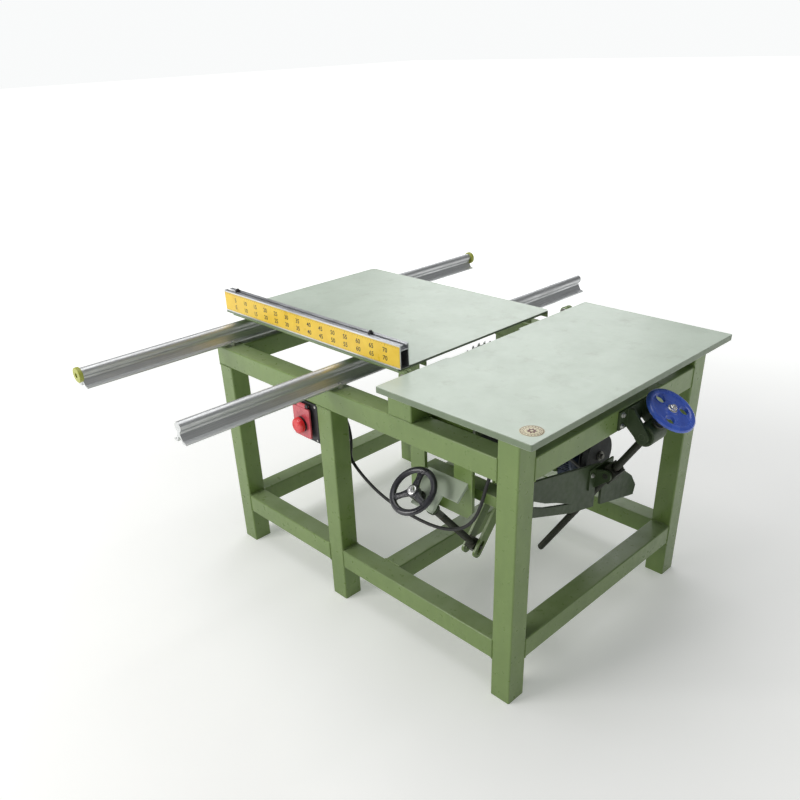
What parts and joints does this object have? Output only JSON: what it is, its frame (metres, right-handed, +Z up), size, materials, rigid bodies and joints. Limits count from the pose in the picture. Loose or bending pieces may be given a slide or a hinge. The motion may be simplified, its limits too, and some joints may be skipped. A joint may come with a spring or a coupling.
{
  "type": "panel saw",
  "caption": "Panel saw: welded square-tube stand, sliding table with fence on two slide rails, fixed table, and a tilting, lifting saw unit worked by two hand wheels.",
  "frame": {"origin": "on the floor, under the middle of the saw's overall length and width", "axes": "+Y along the slide rails and the cut, away from the operator; +X from the sliding table towards the fixed table; +Z up"},
  "size_m": [1.3338, 1.584, 0.85],
  "materials": {
    "frame_paint": "olive green gloss paint",
    "table_paint": "pale grey-green paint",
    "rail_aluminium": "drawn aluminium",
    "fence_aluminium": "anodised aluminium",
    "stop_plastic": "yellow-green moulded plastic",
    "plain_steel": "turned and oiled steel",
    "zinc_steel": "zinc plated steel",
    "blade_steel": "ground steel",
    "mechanism_paint": "dark green paint",
    "motor_paint": "dark blue paint",
    "belt_rubber": "matt black rubber",
    "black_plastic": "moulded black plastic",
    "red_plastic": "glossy red plastic",
    "flap_plastic": "clear red plastic",
    "green_plastic": "glossy green plastic",
    "blue_plastic": "glossy blue moulded wheel",
    "cable_sheath": "black cable sheath"
  },
  "bodies": {
    "frame": {"legs_left": "frame_paint", "legs_middle": "frame_paint", "legs_right": "frame_paint", "bottom_rails_across": "frame_paint", "rails_lengthwise": "frame_paint", "top_rails_across": "frame_paint", "table_posts": "frame_paint", "fixed_table": "table_paint", "slide_rail_left": "rail_aluminium", "slide_rail_right": "rail_aluminium", "rail_end_stops": "stop_plastic", "levelling_bolts": "zinc_steel", "levelling_nuts": "zinc_steel", "pivot_brackets": "frame_paint", "pivot_pins": "plain_steel", "tilt_screw_bracket": "mechanism_paint", "switch_box": "black_plastic", "junction_box": "black_plastic", "cable_glands": "black_plastic", "motor_lead": "cable_sheath"},
    "table": {"sliding_table": "table_paint", "table_beams": "frame_paint", "roller_saddles": "zinc_steel", "roller_axles": "plain_steel", "fence": "fence_aluminium"},
    "fence_knob_left": {"fence_knob_left": "black_plastic"},
    "fence_knob_right": {"fence_knob_right": "black_plastic"},
    "carriage": {"carriage_end_plates": "mechanism_paint", "carriage_bars": "mechanism_paint", "carriage_side_plate": "mechanism_paint", "arm_supports": "mechanism_paint", "arm_pin": "plain_steel", "lift_screw_bracket": "table_paint", "tilt_nut_bracket": "mechanism_paint"},
    "arm": {"lift_arm": "mechanism_paint", "arbor_housing": "mechanism_paint", "motor": "motor_paint", "drive_belt": "belt_rubber"},
    "arbor": {"arbor": "plain_steel", "blade_clamp": "plain_steel", "saw_blade": "blade_steel", "arbor_pulley": "plain_steel"},
    "motor_rotor": {"motor_shaft": "plain_steel", "motor_pulley": "plain_steel"},
    "lift_screw": {"lift_screw": "plain_steel", "lift_wheel": "black_plastic"},
    "lift_nut": {"lift_nut": "plain_steel"},
    "tilt_swivel": {"tilt_swivel": "mechanism_paint"},
    "tilt_screw": {"tilt_screw": "plain_steel", "tilt_wheel": "blue_plastic"},
    "tilt_nut": {"tilt_nut": "plain_steel"},
    "switch_flap": {"switch_flap": "flap_plastic"},
    "stop_button": {"stop_button": "red_plastic"},
    "start_button": {"start_button": "green_plastic"},
    "roller_front_inner": {"roller_front_inner": "plain_steel"},
    "roller_front_outer": {"roller_front_outer": "plain_steel"},
    "roller_front_left": {"roller_front_left": "plain_steel"},
    "roller_back_inner": {"roller_back_inner": "plain_steel"},
    "roller_back_outer": {"roller_back_outer": "plain_steel"},
    "roller_back_left": {"roller_back_left": "plain_steel"}
  },
  "joints": [
    {"name": "table_slide", "type": "slide", "parent": "frame", "child": "table", "axis": [0, 1, 0], "range_m": [-0.54, 0.48]},
    {"name": "roller_front_inner_spin", "type": "hinge", "parent": "table", "child": "roller_front_inner", "pos_m": [-0.13498, -0.161, 0.75418], "axis": [-0.7071, 0, -0.7071], "continuous": true},
    {"name": "roller_front_outer_spin", "type": "hinge", "parent": "table", "child": "roller_front_outer", "pos_m": [-0.10062, -0.161, 0.75418], "axis": [0.7071, 0, -0.7071], "continuous": true},
    {"name": "roller_front_left_spin", "type": "hinge", "parent": "table", "child": "roller_front_left", "pos_m": [-0.6198, -0.161, 0.7598], "axis": [1, 0, 0], "continuous": true},
    {"name": "roller_back_inner_spin", "type": "hinge", "parent": "table", "child": "roller_back_inner", "pos_m": [-0.13498, 0.213, 0.75418], "axis": [-0.7071, 0, -0.7071], "continuous": true},
    {"name": "roller_back_outer_spin", "type": "hinge", "parent": "table", "child": "roller_back_outer", "pos_m": [-0.10062, 0.213, 0.75418], "axis": [0.7071, 0, -0.7071], "continuous": true},
    {"name": "roller_back_left_spin", "type": "hinge", "parent": "table", "child": "roller_back_left", "pos_m": [-0.6198, 0.213, 0.7598], "axis": [1, 0, 0], "continuous": true},
    {"name": "fence_knob_left_turn", "type": "hinge", "parent": "table", "child": "fence_knob_left", "pos_m": [-0.6108, -0.266, 0.841], "axis": [0, 0, 1], "continuous": true},
    {"name": "fence_knob_right_turn", "type": "hinge", "parent": "table", "child": "fence_knob_right", "pos_m": [-0.0228, -0.266, 0.841], "axis": [0, 0, 1], "continuous": true},
    {"name": "carriage_tilt", "type": "hinge", "parent": "frame", "child": "carriage", "pos_m": [0.1062, 0.062, 0.764], "axis": [0, 1, 0], "range_deg": [0, 45]},
    {"name": "arm_lift", "type": "hinge", "parent": "carriage", "child": "arm", "pos_m": [0.2052, 0.215, 0.64], "axis": [-1, 0, 0], "range_deg": [0, 18]},
    {"name": "lift_nut_slide", "type": "slide", "parent": "carriage", "child": "lift_nut", "axis": [0, -0.6451, 0.7641], "range_m": [0, 0.1664]},
    {"name": "lift_wheel_turn", "type": "hinge", "parent": "carriage", "child": "lift_screw", "pos_m": [0.2052, -0.357, 0.513], "axis": [0, 0.6451, -0.7641], "range_deg": [-5, 5939]},
    {"name": "arbor_spin", "type": "hinge", "parent": "arm", "child": "arbor", "pos_m": [0.1062, 0.001, 0.624], "axis": [1, 0, 0], "continuous": true},
    {"name": "motor_spin", "type": "hinge", "parent": "arm", "child": "motor_rotor", "pos_m": [0.3332, 0.255, 0.42], "axis": [1, 0, 0], "continuous": true},
    {"name": "tilt_swivel_turn", "type": "hinge", "parent": "frame", "child": "tilt_swivel", "pos_m": [0.5642, 0.114, 0.618], "axis": [0, 1, 0], "range_deg": [-0.5, 20.24]},
    {"name": "tilt_wheel_turn", "type": "hinge", "parent": "tilt_swivel", "child": "tilt_screw", "pos_m": [0.5642, 0.114, 0.618], "axis": [-0.5305, 0, -0.8477], "range_deg": [-5, 12398]},
    {"name": "tilt_nut_turn", "type": "hinge", "parent": "carriage", "child": "tilt_nut", "pos_m": [0.4722, 0.114, 0.471], "axis": [0, 1, 0], "range_deg": [-26, 0.5]},
    {"name": "switch_flap_hinge", "type": "hinge", "parent": "frame", "child": "switch_flap", "pos_m": [-0.2298, -0.352, 0.617], "axis": [-1, 0, 0], "range_deg": [0, 110]},
    {"name": "stop_button_press", "type": "slide", "parent": "switch_flap", "child": "stop_button", "axis": [0, 1, 0], "range_m": [0, 0.005], "stiffness_N_per_m": 600, "springref_m": -0.003},
    {"name": "start_button_press", "type": "slide", "parent": "frame", "child": "start_button", "axis": [0, 1, 0], "range_m": [0, 0.003], "stiffness_N_per_m": 800, "springref_m": -0.002}
  ],
  "couplings": [
    {"joint": "roller_front_inner_spin", "follows": "table_slide", "rad_per_m": 90.909},
    {"joint": "roller_front_outer_spin", "follows": "table_slide", "rad_per_m": -90.909},
    {"joint": "roller_front_left_spin", "follows": "table_slide", "rad_per_m": -105.26},
    {"joint": "roller_back_inner_spin", "follows": "table_slide", "rad_per_m": 90.909},
    {"joint": "roller_back_outer_spin", "follows": "table_slide", "rad_per_m": -90.909},
    {"joint": "roller_back_left_spin", "follows": "table_slide", "rad_per_m": -105.26},
    {"joint": "lift_nut_slide", "follows": "arm_lift", "m_per_rad": 0.52338},
    {"joint": "lift_wheel_turn", "follows": "arm_lift", "ratio": 328.85},
    {"joint": "motor_spin", "follows": "arbor_spin", "ratio": 0.66667},
    {"joint": "tilt_swivel_turn", "follows": "carriage_tilt", "ratio": 0.431},
    {"joint": "tilt_wheel_turn", "follows": "carriage_tilt", "ratio": 275.06},
    {"joint": "tilt_nut_turn", "follows": "carriage_tilt", "ratio": -0.569}
  ]
}
